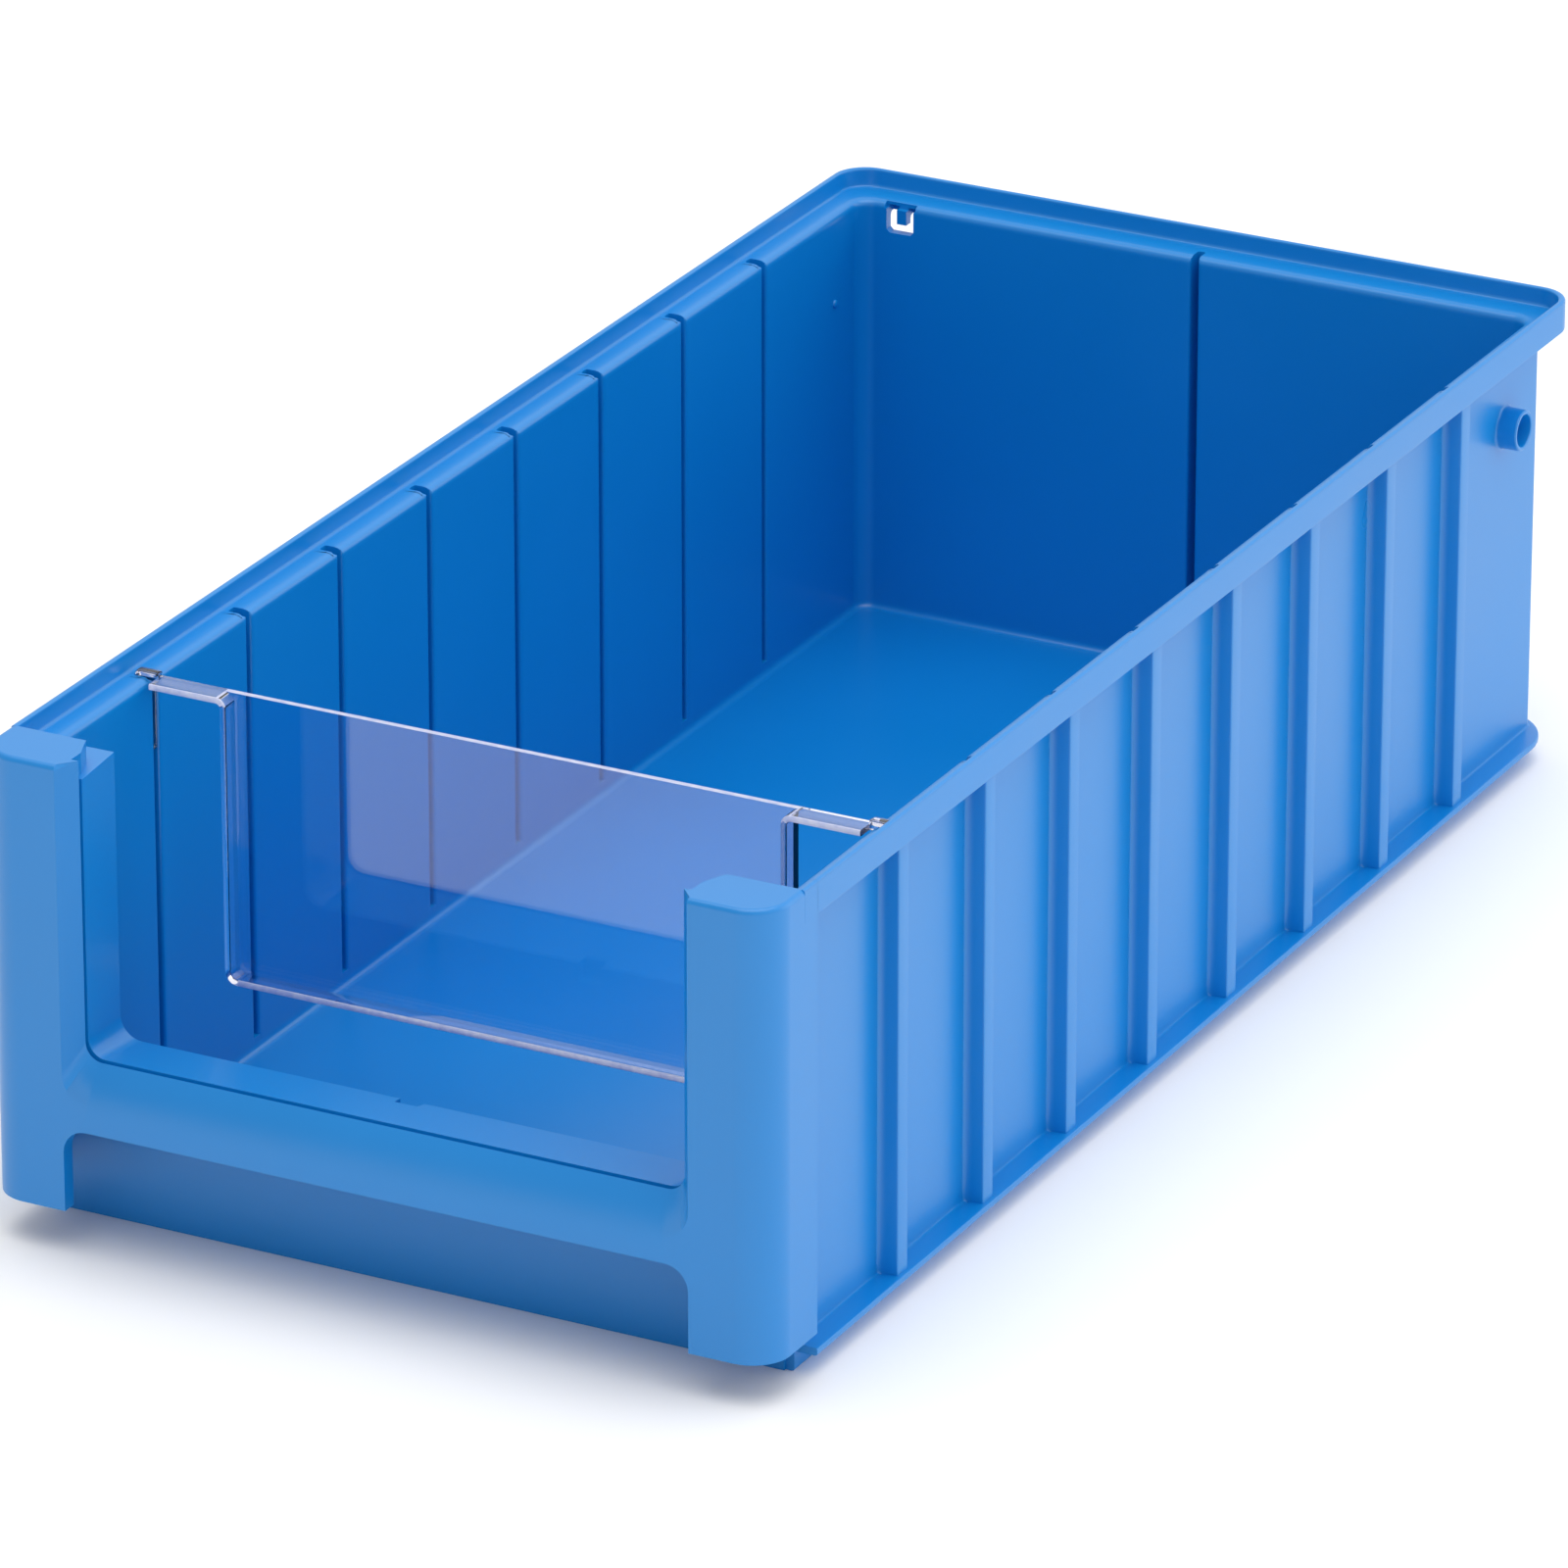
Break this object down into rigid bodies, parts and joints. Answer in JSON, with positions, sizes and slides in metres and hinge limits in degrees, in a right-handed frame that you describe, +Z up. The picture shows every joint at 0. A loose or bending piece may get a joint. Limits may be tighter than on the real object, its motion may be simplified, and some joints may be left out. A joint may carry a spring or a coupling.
{
  "type": "shelf bin",
  "caption": "Long open-topped blue plastic shelf bin with a low picking front, pull bar, ribbed sides, stacking rim and a clear drop-in front window.",
  "frame": {"origin": "on the ground plane under the centre of the bin's outline", "axes": "+X to the bin's right seen from the front, +Y from the picking front to the rear, +Z up"},
  "size_m": [0.234, 0.5, 0.14],
  "materials": {
    "blue_polypropylene": "satin injection-moulded polypropylene",
    "clear_window": "polished clear polystyrene"
  },
  "bodies": {
    "bin": {"floor_plate": "blue_polypropylene", "side_wall_right": "blue_polypropylene", "side_wall_left": "blue_polypropylene", "rear_wall": "blue_polypropylene", "stop_tongue": "blue_polypropylene", "front_wall": "blue_polypropylene", "front_lip": "blue_polypropylene", "post_right": "blue_polypropylene", "post_left": "blue_polypropylene", "pull_bar": "blue_polypropylene", "rim_right": "blue_polypropylene", "rim_left": "blue_polypropylene", "rim_rear": "blue_polypropylene", "foot_flange_right": "blue_polypropylene", "foot_flange_left": "blue_polypropylene", "foot_flange_rear": "blue_polypropylene", "boss_right": "blue_polypropylene", "boss_left": "blue_polypropylene", "side_rib_right_1": "blue_polypropylene", "side_rib_left_1": "blue_polypropylene", "side_rib_right_2": "blue_polypropylene", "side_rib_left_2": "blue_polypropylene", "side_rib_right_3": "blue_polypropylene", "side_rib_left_3": "blue_polypropylene", "side_rib_right_4": "blue_polypropylene", "side_rib_left_4": "blue_polypropylene", "side_rib_right_5": "blue_polypropylene", "side_rib_left_5": "blue_polypropylene", "side_rib_right_6": "blue_polypropylene", "side_rib_left_6": "blue_polypropylene", "side_rib_right_7": "blue_polypropylene", "side_rib_left_7": "blue_polypropylene", "side_rib_right_8": "blue_polypropylene", "side_rib_left_8": "blue_polypropylene"},
    "window": {"front_window": "clear_window"}
  },
  "joints": [
    {"name": "window_lift", "type": "slide", "parent": "bin", "child": "window", "axis": [0, 0, 1], "range_m": [0, 0.1]}
  ]
}
